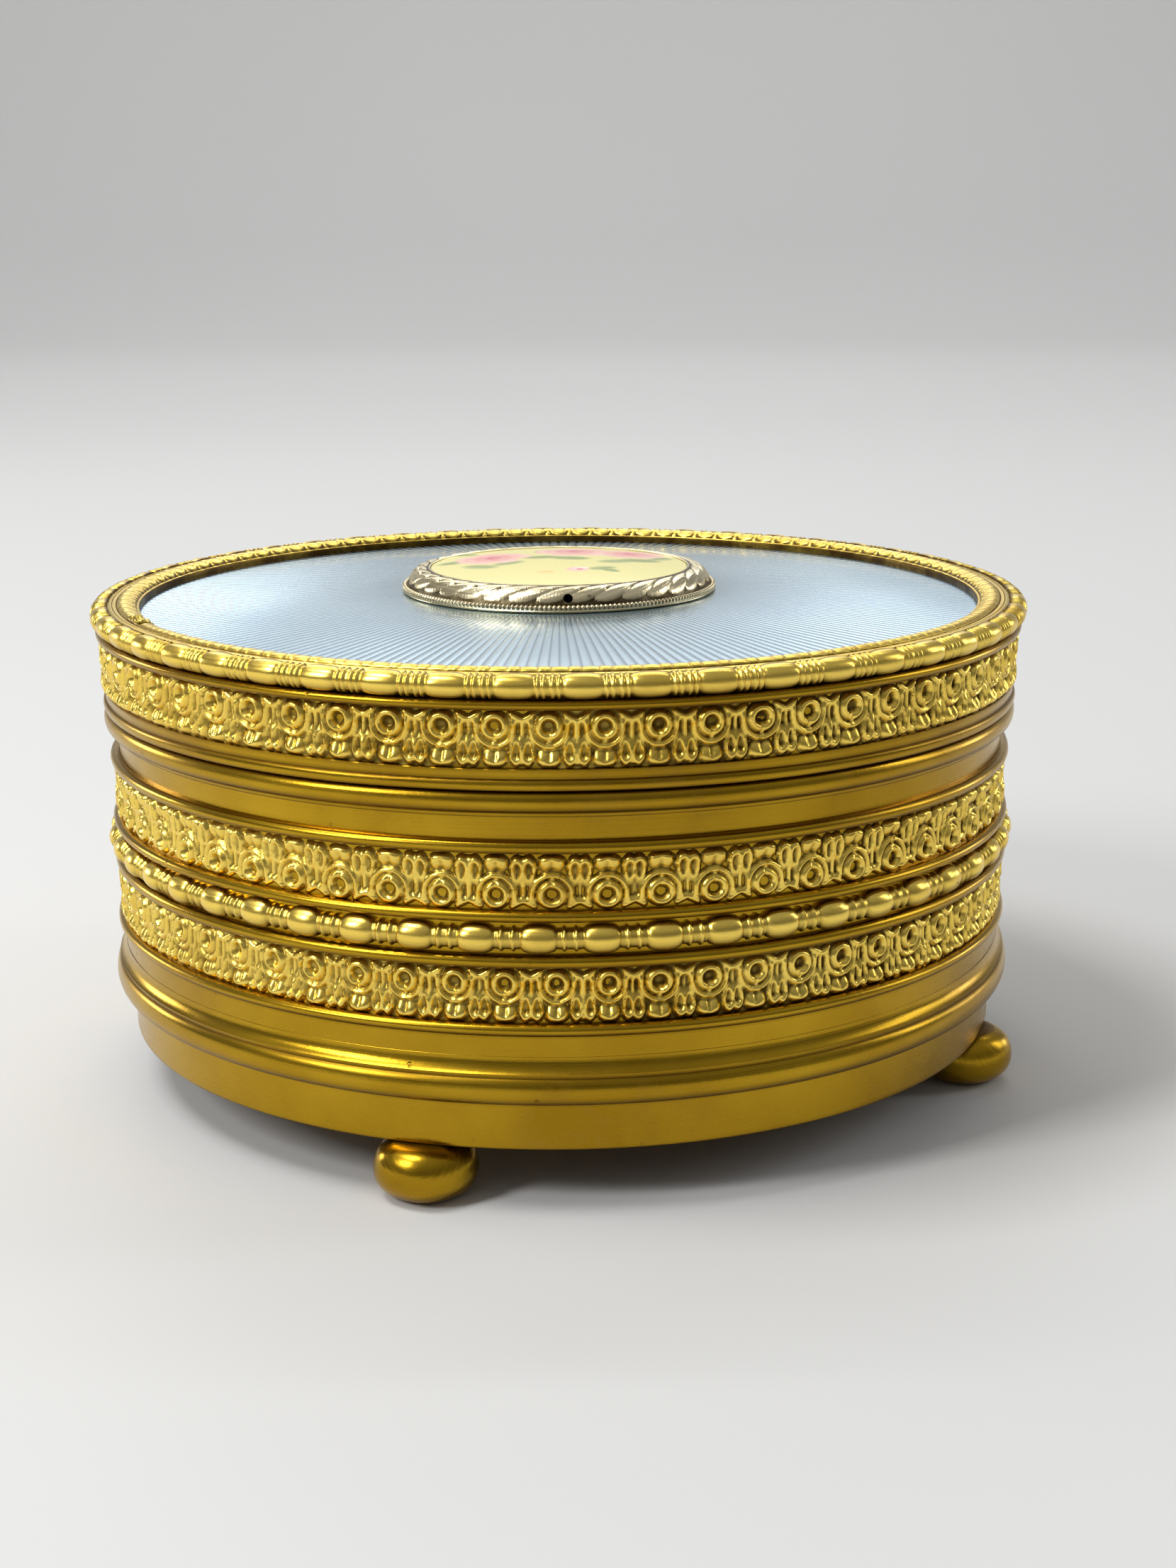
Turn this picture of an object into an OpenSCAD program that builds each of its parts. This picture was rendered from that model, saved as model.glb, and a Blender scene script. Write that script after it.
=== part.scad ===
// Round gilt trinket box on four bun feet, with a hinged enamelled lid and a painted medallion.
// Millimetres, +Z up. The origin is on the surface it stands on, under the box's axis.
// The front is at -Y and the hinge is at +Y.

/* [Overall] */
// Diameter over the beads round the lid, the widest part
rim_d = 100; // [100:0.5:110]
// Height of the base's lower edge above the surface
foot_drop = 5.7; // [5.2:0.1:7]
// Height of the body, from the base's lower edge to the seam
body_h = 35; // [34.9:0.1:40]

/* [Body] */
// Outer diameter of the turned body, behind its mouldings
shell_d = 95.2; // [95:0.1:95.4]
// Bore of the turned body
bore_d = 92.4; // [92:0.1:92.8]
// Width of each of the two friezes on the body
frieze_h = 5.4; // [5:0.1:5.6]
// How far the locating collar stands above the seam
collar_rise = 1.3; // [0.8:0.1:2]
// Thickness of the velvet pad on the floor
pad_t = 2.6; // [1:0.1:4]

/* [Feet] */
// Diameter of a bun foot
foot_d = 10.3; // [9:0.1:11]
// Radius of the circle that the feet stand on
foot_ring_r = 45.2; // [44.5:0.1:45.6]
// Angle of the first foot, from the front towards the right
foot_angle = -17; // [-45:1:45]
// Number of feet
foot_count = 4; // [3:1:4]

/* [Lid] */
// Gap between the body and the closed lid
seam_gap = 0.12; // [0.08:0.01:0.2]
// Height of the lid's frieze
lid_frieze_h = 5.4; // [5:0.1:5.6]
// Diameter of the enamel that shows inside the leaf border
enamel_d = 89.6; // [88:0.1:90.4]
// Rise of the enamel from its edge to the medallion
enamel_rise = 1.24; // [0.6:0.02:1.6]

/* [Medallion] */
// Diameter of the medallion's flat flange
medallion_d = 33.8; // [30:0.1:36]
// Diameter of the painted plaque that shows inside the bezel
plaque_d = 27.6; // [25:0.1:28]

/* [Hinge] */
// Diameter of the hinge barrel
barrel_d = 2.5; // [2.2:0.1:2.6]
// Diameter of the hinge pin
pin_d = 1.2; // [1:0.1:1.3]
// Length of one hinge knuckle
knuckle_l = 4; // [3:0.1:4.2]

/* [Hidden] */

$fn = 96;
gap = 0.02;            // solder or cement gap between a strip and what it sits on
over = 1;              // how far a cutting tool runs past the face that it cuts

gilt = [0.80, 0.62, 0.22];
pale_gilt = [0.83, 0.77, 0.58];
velvet = [0.16, 0.20, 0.36];
steel_blue = [0.33, 0.49, 0.66];
cream = [0.92, 0.88, 0.62];

rim_r = rim_d / 2;
shell_r = shell_d / 2;
bore_r = bore_d / 2;

// Levels on the body, from the surface up
base_z = foot_drop;
ring_top_z = base_z + 5.0;
torus_top_z = base_z + 8.3;
waist_top_z = base_z + 11.6;
lower_frieze_z = waist_top_z + 1.15;
belt_low_fillet_z = lower_frieze_z + frieze_h;
belt_z = belt_low_fillet_z + 1.25;
belt_up_fillet_z = belt_z + 3.15;
upper_frieze_z = belt_up_fillet_z + 1.1;
neck_fillet_z = upper_frieze_z + frieze_h;
neck_fillet_h = 1.25;
seam_z = base_z + body_h;
rim_moulding_h = 2.5;
shell_top_z = seam_z - 0.6;
plate_t = 1.2;
plate_top_z = ring_top_z + plate_t;
collar_z = seam_z - 5;

// Radii of the body's mouldings
band_r = shell_r - 0.45;
waist_r = shell_r + 0.25;
seat_r = shell_r + gap;
lower_frieze_r = shell_r + 0.85;
upper_frieze_r = shell_r + 0.8;
fillet_r = shell_r + 0.95;
belt_r = shell_r + 1.55;
torus_r = shell_r + 1.4;
base_flange_r = 41;
lining_r = bore_r - 1.0;
collar_r = bore_r - 0.05;
collar_in_r = bore_r - 1.2;

// Levels on the lid
lid_z = seam_z + seam_gap;
lid_frieze_z = lid_z + 2.03;
lid_fillet_z = lid_frieze_z + lid_frieze_h;
lid_fillet_h = 1.0;
beads_z = lid_fillet_z + lid_fillet_h;
beads_h = 2.35;
lid_top_z = beads_z + 1.05;
enamel_t = 1.1;
enamel_edge_z = lid_top_z;
back_top_z = enamel_edge_z - enamel_t;
back_t = 0.8;
back_z = back_top_z - back_t;
ledge_z = back_z - 0.8;
medallion_z = enamel_edge_z + enamel_rise;

// Radii on the lid
lid_wall_r = rim_r - 1.5;
lid_in_r = bore_r + 0.7;
lid_band_r = rim_r - 1.25;
lid_bead_r = rim_r - 1.0;
lid_frieze_r = rim_r - 0.65;
lid_fillet_r = rim_r - 0.5;
beads_seat_r = rim_r - 1.8;
ledge_r = 44;
plate_bore_r = 46;
plate_r = 45.9;
enamel_r = enamel_d / 2;
medallion_r = medallion_d / 2;
seat_flat_r = medallion_r + 0.3;
plaque_r = plaque_d / 2;
flange_t = 0.66;
flange_top_z = medallion_z + flange_t;
bezel_h = 1.85;
lid_lining_t = 2.8;

// Medallion fixing
stud_r = 1.2;
stud_hole_r = 1.3;
washer_t = 0.5;
nut_t = 1.8;
nut_r = 2.9;
lining_recess_r = 3.6;

// Hinge
hinge_y = rim_r - 1.4;
hinge_z = seam_z + seam_gap / 2;
barrel_r = barrel_d / 2;
pin_r = pin_d / 2;
pin_hole_r = pin_r + 0.05;
barrel_space = 0.2;
knuckle_gap = 0.1;
knuckle_count = 5;
pitch = knuckle_l + knuckle_gap;
barrel_l = knuckle_count * pitch - knuckle_gap;
leaf_half = barrel_l / 2 - 0.1;
window_half = barrel_l / 2 + 0.2;
leaf_t = 0.65;
leaf_low_z = neck_fillet_z + neck_fillet_h + 0.1;
lid_pocket_t = 0.75;
lid_leaf_top_z = lid_frieze_z + 4.2;

// Foot screws
screw_r = 0.77;
screw_hole_r = 0.8;
head_r = 1.25;
head_hole_r = 1.3;
head_h = 1.0;
screw_depth = 3;

// Points of a half-oval that bulges outwards from radius r, between heights z and z + h
function bulge(r, out, z, h, steps = 16) =
    [for (i = [0 : steps]) let (a = -90 + 180 * i / steps)
        [r + out * cos(a), z + h / 2 + h / 2 * sin(a)]];

// A ring whose face is a half-oval
module half_round(r_in, r_foot, out, z, h) {
    rotate_extrude()
        polygon(concat([[r_in, z]], bulge(r_foot, out, z, h), [[r_in, z + h]]));
}

// A plain ring of rectangular section
module band(r_in, r_out, z, h) {
    rotate_extrude()
        translate([r_in, z])
            square([r_out - r_in, h]);
}

// A strip with a raised line along each edge, which stands for its relief
module frieze(r_in, r_out, z, h) {
    edge = 0.5;
    depth = 0.2;
    rotate_extrude()
        polygon([[r_in, z], [r_out, z], [r_out, z + edge], [r_out - depth, z + edge + depth],
            [r_out - depth, z + h - edge - depth], [r_out, z + h - edge], [r_out, z + h],
            [r_in, z + h]]);
}

// Puts its children at each foot's place
module at_foot(i) {
    rotate([0, 0, foot_angle + 90 * i])
        translate([0, -foot_ring_r, 0])
            children();
}

// A cylinder along X, on the hinge's axis
module on_axis(r, x, l) {
    translate([x, hinge_y, hinge_z])
        rotate([0, 90, 0])
            cylinder(r = r, h = l);
}

// Start of a hinge knuckle along X
function knuckle_x(i) = -barrel_l / 2 + i * pitch;

// The room that the barrel and the leaves need at the back
module barrel_room() {
    on_axis(barrel_r + barrel_space, -window_half, 2 * window_half);
}

module base_moulding() {
    torus_z = ring_top_z - 0.1;
    torus = bulge(waist_r + gap, torus_r - waist_r - gap, torus_z, torus_top_z - torus_z);
    color(gilt)
    difference() {
        rotate_extrude()
            polygon(concat([[base_flange_r, base_z], [band_r - 0.15, base_z],
                [band_r, base_z + 0.15], [band_r, ring_top_z - 0.3]], torus,
                [[waist_r + gap, ring_top_z], [base_flange_r, ring_top_z]]));
        for (i = [0 : foot_count - 1])
            at_foot(i) {
                translate([0, 0, base_z - over])
                    cylinder(r = screw_hole_r, h = 5 + 2 * over, $fn = 32);
                translate([0, 0, ring_top_z - head_h - 0.1])
                    cylinder(r = head_hole_r, h = head_h + over, $fn = 32);
            }
    }
}

module base_plate() {
    color(gilt)
    translate([0, 0, ring_top_z])
        cylinder(r = bore_r - 0.1, h = plate_t);
}

module body_shell() {
    color(gilt)
    difference() {
        rotate_extrude()
            polygon([[bore_r, ring_top_z], [waist_r, ring_top_z], [waist_r, waist_top_z],
                [shell_r, waist_top_z], [shell_r, shell_top_z], [bore_r, shell_top_z]]);
        barrel_room();
    }
}

module lower_fillet() {
    color(gilt)
    half_round(seat_r, shell_r + 0.3, fillet_r - shell_r - 0.3, waist_top_z, 1.15);
}

module lower_frieze() {
    color(gilt)
    frieze(seat_r, lower_frieze_r, lower_frieze_z, frieze_h);
}

module belt_fillet_lower() {
    color(gilt)
    half_round(seat_r, shell_r + 0.3, fillet_r - shell_r - 0.3, belt_low_fillet_z, 1.25);
}

module bead_and_reel_belt() {
    color(gilt)
    half_round(seat_r, shell_r + 0.2, belt_r - shell_r - 0.2, belt_z, 3.15);
}

module belt_fillet_upper() {
    color(gilt)
    half_round(seat_r, shell_r + 0.3, fillet_r - shell_r - 0.3, belt_up_fillet_z, 1.1);
}

module upper_frieze() {
    color(gilt)
    frieze(seat_r, upper_frieze_r, upper_frieze_z, frieze_h);
}

module neck_fillet() {
    color(gilt)
    half_round(seat_r, shell_r + 0.3, fillet_r - shell_r - 0.3, neck_fillet_z, neck_fillet_h);
}

module rim_moulding() {
    cove_z = seam_z - rim_moulding_h;
    cove_h = 1.1;
    outer = bulge(shell_r + 0.8, torus_r - shell_r - 0.8, cove_z + cove_h, rim_moulding_h - cove_h);
    color(gilt)
    difference() {
        rotate_extrude()
            polygon(concat([[seat_r, cove_z], [shell_r + 0.35, cove_z],
                [shell_r + 0.5, cove_z + cove_h / 2]], outer,
                [[bore_r, seam_z], [bore_r, shell_top_z], [seat_r, shell_top_z]]));
        barrel_room();
        difference() {
            translate([-window_half, shell_r / 2, cove_z - over])
                cube([2 * window_half, shell_r, rim_moulding_h + 2 * over]);
            translate([0, 0, cove_z - 2 * over])
                cylinder(r = seat_r, h = rim_moulding_h + 4 * over);
        }
    }
}

module inner_collar() {
    color(gilt)
    rotate_extrude()
        polygon([[collar_in_r, collar_z], [collar_r, collar_z], [collar_r, seam_z + collar_rise - 0.3],
            [collar_r - 0.3, seam_z + collar_rise], [collar_in_r, seam_z + collar_rise]]);
}

module wall_lining() {
    color(velvet)
    band(lining_r, collar_r, plate_top_z, collar_z - plate_top_z);
}

module floor_pad() {
    color(velvet)
    translate([0, 0, plate_top_z])
        cylinder(r = lining_r - 0.1, h = pad_t);
}

// Bun foot, cut away where the base's edge sits in it
module foot(i) {
    foot_r = foot_d / 2;
    wide_z = foot_drop * 0.56;
    cap_h = 4.6;
    top_z = foot_drop + 0.8;
    low = [for (a = [-66 : 6 : 0]) [foot_r * cos(a), wide_z * (1 + sin(a) / sin(66))]];
    high = [for (z = [wide_z + 0.4 : 0.4 : top_z])
        [foot_r * sqrt(1 - pow((z - wide_z) / cap_h, 2)), z]];
    color(gilt)
    difference() {
        at_foot(i)
            rotate_extrude($fn = 48)
                polygon(concat([[0, 0]], low, high, [[0, high[len(high) - 1][1]]]));
        translate([0, 0, base_z])
            cylinder(r = band_r, h = 5);
        at_foot(i)
            translate([0, 0, base_z - screw_depth])
                cylinder(r = screw_hole_r, h = 2 * screw_depth, $fn = 32);
    }
}

module foot_screws() {
    color("silver")
    for (i = [0 : foot_count - 1])
        at_foot(i)
            difference() {
                union() {
                    translate([0, 0, base_z - screw_depth + 0.3])
                        cylinder(r = screw_r, h = ring_top_z - base_z + screw_depth - 1.3, $fn = 32);
                    translate([0, 0, ring_top_z - head_h - 0.1])
                        cylinder(r = head_r, h = head_h, $fn = 32);
                }
                translate([-head_r - over, -0.15, ring_top_z - 0.5])
                    cube([2 * (head_r + over), 0.3, over]);
            }
}

module hinge_body_leaf() {
    plate_top = hinge_z - barrel_r - 0.15;
    color(gilt)
    difference() {
        union() {
            intersection() {
                band(seat_r, shell_r + leaf_t, leaf_low_z, plate_top - leaf_low_z);
                translate([-leaf_half, 0, 0])
                    cube([2 * leaf_half, rim_d, rim_d]);
            }
            for (i = [0, 2, 4]) {
                on_axis(barrel_r, knuckle_x(i), knuckle_l);
                intersection() {
                    translate([knuckle_x(i), 0, plate_top - 0.5])
                        cube([knuckle_l, hinge_y + 0.3, hinge_z - plate_top + 0.5]);
                    band(seat_r, rim_r, base_z, rim_d);
                }
            }
        }
        on_axis(pin_hole_r, -barrel_l, 2 * barrel_l);
    }
}

module hinge_pin() {
    color(gilt)
    on_axis(pin_r, -barrel_l / 2, barrel_l);
}

module hinge_lid_leaf() {
    leaf_z = hinge_z + barrel_r + 0.15;
    color(gilt)
    difference() {
        union() {
            intersection() {
                band(lid_wall_r - leaf_t, lid_wall_r, leaf_z, lid_leaf_top_z - leaf_z);
                translate([-leaf_half, 0, 0])
                    cube([2 * leaf_half, rim_d, rim_d]);
            }
            for (i = [1, 3]) {
                on_axis(barrel_r, knuckle_x(i), knuckle_l);
                intersection() {
                    translate([knuckle_x(i), hinge_y - barrel_r, hinge_z])
                        cube([knuckle_l, barrel_r + 0.3, leaf_z - hinge_z + 0.5]);
                    band(lid_wall_r - leaf_t, lid_band_r, hinge_z, lid_frieze_z - hinge_z - 0.05);
                }
            }
        }
        on_axis(pin_hole_r, -barrel_l, 2 * barrel_l);
    }
}

module lid_shell() {
    color(gilt)
    difference() {
        rotate_extrude()
            polygon(concat([[lid_in_r, lid_z]], bulge(lid_band_r, lid_bead_r - lid_band_r, lid_z, 1, 8),
                [[lid_band_r, lid_frieze_z], [lid_wall_r, lid_frieze_z], [lid_wall_r, beads_z],
                [beads_seat_r - gap, beads_z], [beads_seat_r - gap, lid_top_z],
                [plate_bore_r, lid_top_z], [plate_bore_r, back_z], [ledge_r, back_z],
                [ledge_r, ledge_z], [lid_in_r, ledge_z - 0.8]]));
        barrel_room();
        intersection() {
            band(lid_wall_r - lid_pocket_t, rim_r, hinge_z, lid_leaf_top_z + 0.1 - hinge_z);
            translate([-window_half, 0, 0])
                cube([2 * window_half, rim_d, rim_d]);
        }
    }
}

module lid_frieze() {
    color(gilt)
    frieze(lid_wall_r + gap, lid_frieze_r, lid_frieze_z, lid_frieze_h);
}

module lid_fillet() {
    color(gilt)
    half_round(lid_wall_r + gap, lid_wall_r + 0.4, lid_fillet_r - lid_wall_r - 0.4, lid_fillet_z,
        lid_fillet_h);
}

module lid_rim_beads() {
    color(gilt)
    half_round(beads_seat_r, beads_seat_r + 0.6, rim_r - beads_seat_r - 0.6, beads_z, beads_h);
}

module leaf_border_ring() {
    color(gilt)
    rotate_extrude()
        polygon([[enamel_r, lid_top_z], [beads_seat_r - gap, lid_top_z],
            [beads_seat_r - gap, lid_top_z + 0.85], [beads_seat_r - 0.3, lid_top_z + 0.95],
            [46.7, lid_top_z + 1.55], [46.2, lid_top_z + 1.6], [45.7, lid_top_z + 1.5],
            [enamel_r + 0.1, lid_top_z + 1.0], [enamel_r, lid_top_z + 0.85]]);
}

// Height of the enamel's face above its edge, at radius r
function dome(r) = enamel_rise * (1 - (pow(r, 2) - pow(seat_flat_r, 2))
    / (pow(enamel_r, 2) - pow(seat_flat_r, 2)));

module enamel_plate() {
    steps = 12;
    face = [for (i = [0 : steps]) let (r = enamel_r + (seat_flat_r - enamel_r) * i / steps)
        [r, dome(r)]];
    color(steel_blue)
    translate([0, 0, enamel_edge_z])
        rotate_extrude()
            polygon(concat([[plate_r, -enamel_t], [plate_r, 0]], face,
                [[stud_hole_r, enamel_rise], [stud_hole_r, enamel_rise - enamel_t],
                [seat_flat_r, enamel_rise - enamel_t], [enamel_r, -enamel_t]]));
}

module lid_back_plate() {
    color(gilt)
    band(stud_hole_r, plate_r, back_z, back_t);
}

module packing_disc() {
    color("tan")
    band(stud_hole_r, medallion_r, back_top_z, enamel_rise);
}

module lid_lining() {
    color(velvet)
    difference() {
        translate([0, 0, back_z - lid_lining_t])
            cylinder(r = ledge_r - 0.15, h = lid_lining_t);
        translate([0, 0, back_z - lid_lining_t + 0.35])
            cylinder(r = lining_recess_r, h = lid_lining_t, $fn = 48);
    }
}

module medallion_base() {
    stud_z = back_z - washer_t - nut_t;
    color(pale_gilt)
    union() {
        translate([0, 0, medallion_z])
            cylinder(r = medallion_r, h = flange_t);
        translate([0, 0, stud_z])
            cylinder(r = stud_r, h = medallion_z - stud_z + flange_t / 2, $fn = 32);
    }
}

module medallion_bezel() {
    bezel_r = medallion_r - 0.35;
    cord_h = 0.7;
    rebate_z = flange_top_z + 1.15;
    color(pale_gilt)
    rotate_extrude()
        polygon(concat([[plaque_r + 0.45, flange_top_z]],
            bulge(bezel_r - 0.3, 0.3, flange_top_z, cord_h, 8),
            [[bezel_r - 0.6, flange_top_z + 1.1], [bezel_r - 1.4, flange_top_z + 1.6],
            [plaque_r + 0.3, flange_top_z + bezel_h], [plaque_r + 0.05, flange_top_z + bezel_h],
            [plaque_r + 0.05, rebate_z], [plaque_r + 0.45, rebate_z]]));
}

module medallion_plaque() {
    rim_z = flange_top_z + 1.1;
    crown = 0.75;
    steps = 10;
    face = [for (i = [0 : steps]) let (r = plaque_r * (1 - i / steps))
        [r, rim_z + 0.6 + crown * (1 - pow(r / plaque_r, 2))]];
    color(cream)
    rotate_extrude()
        polygon(concat([[0, flange_top_z], [plaque_r + 0.4, flange_top_z], [plaque_r + 0.4, rim_z],
            [plaque_r, rim_z]], face));
}

module medallion_washer() {
    color("silver")
    band(stud_hole_r, 3.2, back_z - washer_t, washer_t);
}

module medallion_nut() {
    color("silver")
    translate([0, 0, back_z - washer_t - nut_t])
        difference() {
            cylinder(r = nut_r, h = nut_t, $fn = 6);
            translate([0, 0, -over])
                cylinder(r = stud_r + 0.05, h = nut_t + 2 * over, $fn = 32);
        }
}

base_moulding();
base_plate();
body_shell();
lower_fillet();
lower_frieze();
belt_fillet_lower();
bead_and_reel_belt();
belt_fillet_upper();
upper_frieze();
neck_fillet();
rim_moulding();
inner_collar();
wall_lining();
floor_pad();
foot(0);  // foot_1
foot(1);  // foot_2
foot(2);  // foot_3
foot(3);  // foot_4
foot_screws();
hinge_body_leaf();
hinge_pin();
hinge_lid_leaf();
lid_shell();
lid_frieze();
lid_fillet();
lid_rim_beads();
leaf_border_ring();
enamel_plate();
lid_back_plate();
packing_disc();
lid_lining();
medallion_base();
medallion_bezel();
medallion_plaque();
medallion_washer();
medallion_nut();
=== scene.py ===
import math
import bmesh
import bpy
import numpy as np
from mathutils import Matrix, Vector


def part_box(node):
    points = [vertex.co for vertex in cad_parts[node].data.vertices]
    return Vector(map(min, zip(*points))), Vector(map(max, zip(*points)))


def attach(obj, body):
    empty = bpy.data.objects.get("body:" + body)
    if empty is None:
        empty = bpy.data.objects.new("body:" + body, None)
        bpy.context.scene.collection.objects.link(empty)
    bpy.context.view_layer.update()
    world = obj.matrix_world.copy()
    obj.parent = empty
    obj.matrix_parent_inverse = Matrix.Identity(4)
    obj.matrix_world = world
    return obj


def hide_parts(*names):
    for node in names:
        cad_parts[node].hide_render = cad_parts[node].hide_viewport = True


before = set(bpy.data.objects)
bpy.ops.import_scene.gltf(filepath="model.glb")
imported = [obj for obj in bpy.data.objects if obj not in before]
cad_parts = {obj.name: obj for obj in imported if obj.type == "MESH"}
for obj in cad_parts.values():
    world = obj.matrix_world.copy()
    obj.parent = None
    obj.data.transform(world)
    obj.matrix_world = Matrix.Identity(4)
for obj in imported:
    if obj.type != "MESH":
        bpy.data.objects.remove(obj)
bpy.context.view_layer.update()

MM = 0.001
TAU = 2 * math.pi
FRONT = -math.pi / 2        # the front of the box, as an angle from +X

# Sizes that several pieces share, in millimetres
BASE_BORE_R = 41            # inside of the base moulding
BORE_R = 46.2               # inside of the body's wall
STRIP_T = 0.8               # how far a frieze's face stands off the shell
MOTIF_H = 5.4               # height at which the frieze's motif is drawn
GLASS_R = 44.8              # edge of the enamel inside the leaf border
SEAT_R = 17.2               # flat seat of the medallion
STUD_HOLE_R = 1.3           # hole in the enamel plate for the medallion's stud
BEZEL_IN_R = 13.85
PLAQUE_R = 13.8

TURNED_SEGMENTS = 480
TURNED_EDGE = 35            # a turned piece's edges stay sharp above this angle, in degrees
CORD_TEETH = 216
BEZEL_LEAVES = 34


# ---------------------------------------------------------------- reading the frame
def low(node):
    """Lowest height of a CAD node, in millimetres."""
    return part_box(node)[0][2] / MM


def high(node):
    """Highest point of a CAD node, in millimetres."""
    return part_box(node)[1][2] / MM


def outer(node):
    """Outer radius of a round CAD node, read at the front, in millimetres."""
    return -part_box(node)[0][1] / MM


# ---------------------------------------------------------------- meshes
def add_object(name, mesh, material, body, nodes):
    """Puts a mesh in the scene as a piece that rides on a body and stands for CAD nodes."""
    piece = bpy.data.objects.new(name, mesh)
    bpy.context.scene.collection.objects.link(piece)
    mesh.materials.append(material)
    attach(piece, body)
    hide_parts(*nodes)
    return piece


def loop_mesh(name, points, dirt_and_shade, sharp):
    """A closed mesh from points[i, j]: i goes round the box and j goes round the section.

    dirt is None or a value for each point. Edges stay sharp above the angle sharp, in degrees.
    """
    n, m = points.shape[:2]
    i, j = np.meshgrid(np.arange(n), np.arange(m), indexing="ij")
    i2, j2 = (i + 1) % n, (j + 1) % m
    quads = np.stack([i * m + j, i2 * m + j, i2 * m + j2, i * m + j2], axis=-1).reshape(-1, 4)
    mesh = bpy.data.meshes.new(name)
    mesh.vertices.add(n * m)
    mesh.vertices.foreach_set("co", (points * MM).astype(np.float32).ravel())
    mesh.loops.add(quads.size)
    mesh.loops.foreach_set("vertex_index", quads.astype(np.int32).ravel())
    mesh.polygons.add(len(quads))
    mesh.polygons.foreach_set("loop_start", np.arange(0, quads.size, 4, dtype=np.int32))
    mesh.update(calc_edges=True)
    mesh.validate()
    mesh.shade_smooth()
    mesh.set_sharp_from_angle(angle=math.radians(sharp))
    # This attribute holds dirt in the hollows and, on some pieces, painted shade.
    if dirt_and_shade is not None:
        layer = mesh.attributes.new("dirt_and_shade", "FLOAT", "POINT")
        layer.data.foreach_set("value", np.ascontiguousarray(dirt_and_shade, dtype=np.float32).ravel())
    return mesh


def polar(angle, r, z):
    """Points at the given angles, radii and heights, in millimetres."""
    r, z, angle = np.broadcast_arrays(r, z, angle)
    return np.stack([r * np.cos(angle), r * np.sin(angle), z], axis=-1)


def arc(r, z, out, up, start, end, steps):
    """Points of an oval arc in the section plane, angles in degrees from outwards."""
    a = np.radians(np.linspace(start, end, steps))
    return [(r + out * math.cos(t), z + up * math.sin(t)) for t in a]


def bulge(r, out, z, h, steps):
    """Points of a half-oval that bulges outwards between heights z and z + h."""
    return arc(r, z + h / 2, out, h / 2, -90, 90, steps)


def smooth_noise(rng, n, waves):
    """A closed curve of n values made of a few waves, about -1 to 1."""
    t = np.arange(n) / n * TAU
    out = np.zeros(n)
    for k in waves:
        out += rng.normal() * np.sin(k * t + rng.uniform(0, TAU))
    return out / math.sqrt(len(waves))


def hollow_dirt(section, reach=0.5):
    """How far each point of a closed section lies in a hollow, from 0 to 1."""
    p = np.array(section)
    before, after = np.roll(p, 1, 0), np.roll(p, -1, 0)
    one, two = p - before, after - p
    turn = one[:, 0] * two[:, 1] - one[:, 1] * two[:, 0]
    turn = turn / (np.linalg.norm(one, axis=1) * np.linalg.norm(two, axis=1) + 1e-9)
    corner = p[turn < -0.45]                  # the sharp inward corners
    if not len(corner):
        return np.zeros(len(p))
    near = np.min(np.linalg.norm(p[:, None] - corner[None], axis=-1), axis=1)
    return 0.6 * np.clip(1 - near / reach, 0, 1)


def densify(section, step=0.35):
    """The same closed section with no stretch longer than step."""
    out = []
    for a, b in zip(section, section[1:] + section[:1]):
        n = max(1, int(math.hypot(b[0] - a[0], b[1] - a[1]) / step))
        out += [(a[0] + (b[0] - a[0]) * k / n, a[1] + (b[1] - a[1]) * k / n) for k in range(n)]
    return out


def turned(name, section, material, body, nodes, seed, wobble=0.012):
    """A turned ring: the section goes up its outer face and down its inner one."""
    rng = np.random.default_rng(seed)
    section = densify(section)
    s = np.array(section)
    angle = np.arange(TURNED_SEGMENTS) / TURNED_SEGMENTS * TAU
    wave = wobble * smooth_noise(rng, TURNED_SEGMENTS, (3, 5, 8, 13, 21))
    r = s[None, :, 0] + wave[:, None]
    # Faces that turn downwards are painted darker: painted shade on the undersides, on top of the
    # dirt in the hollows.
    ahead = np.roll(s, -1, 0) - np.roll(s, 1, 0)
    facing_down = ahead[:, 0] / (np.hypot(ahead[:, 0], ahead[:, 1]) + 1e-9)
    under = 0.75 * np.clip((facing_down - 0.15) / 0.6, 0, 1)
    dirt_and_shade = np.broadcast_to(np.maximum(hollow_dirt(section), under), r.shape)
    mesh = loop_mesh(name, polar(angle[:, None], r, s[None, :, 1]), dirt_and_shade, TURNED_EDGE)
    return add_object(name, mesh, material, body, nodes)


def cut(piece, cutter):
    """Takes the cutter's space out of a piece for good."""
    step = piece.modifiers.new("cut", "BOOLEAN")
    step.operation = "DIFFERENCE"
    step.solver = "EXACT"
    step.object = cutter
    graph = bpy.context.evaluated_depsgraph_get()
    old = piece.data
    new = bpy.data.meshes.new_from_object(piece.evaluated_get(graph))
    piece.modifiers.clear()
    piece.data = new
    new.name = old.name
    bpy.data.meshes.remove(old)
    bpy.data.objects.remove(cutter)
    new.shade_smooth()
    new.set_sharp_from_angle(angle=math.radians(TURNED_EDGE))


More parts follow.
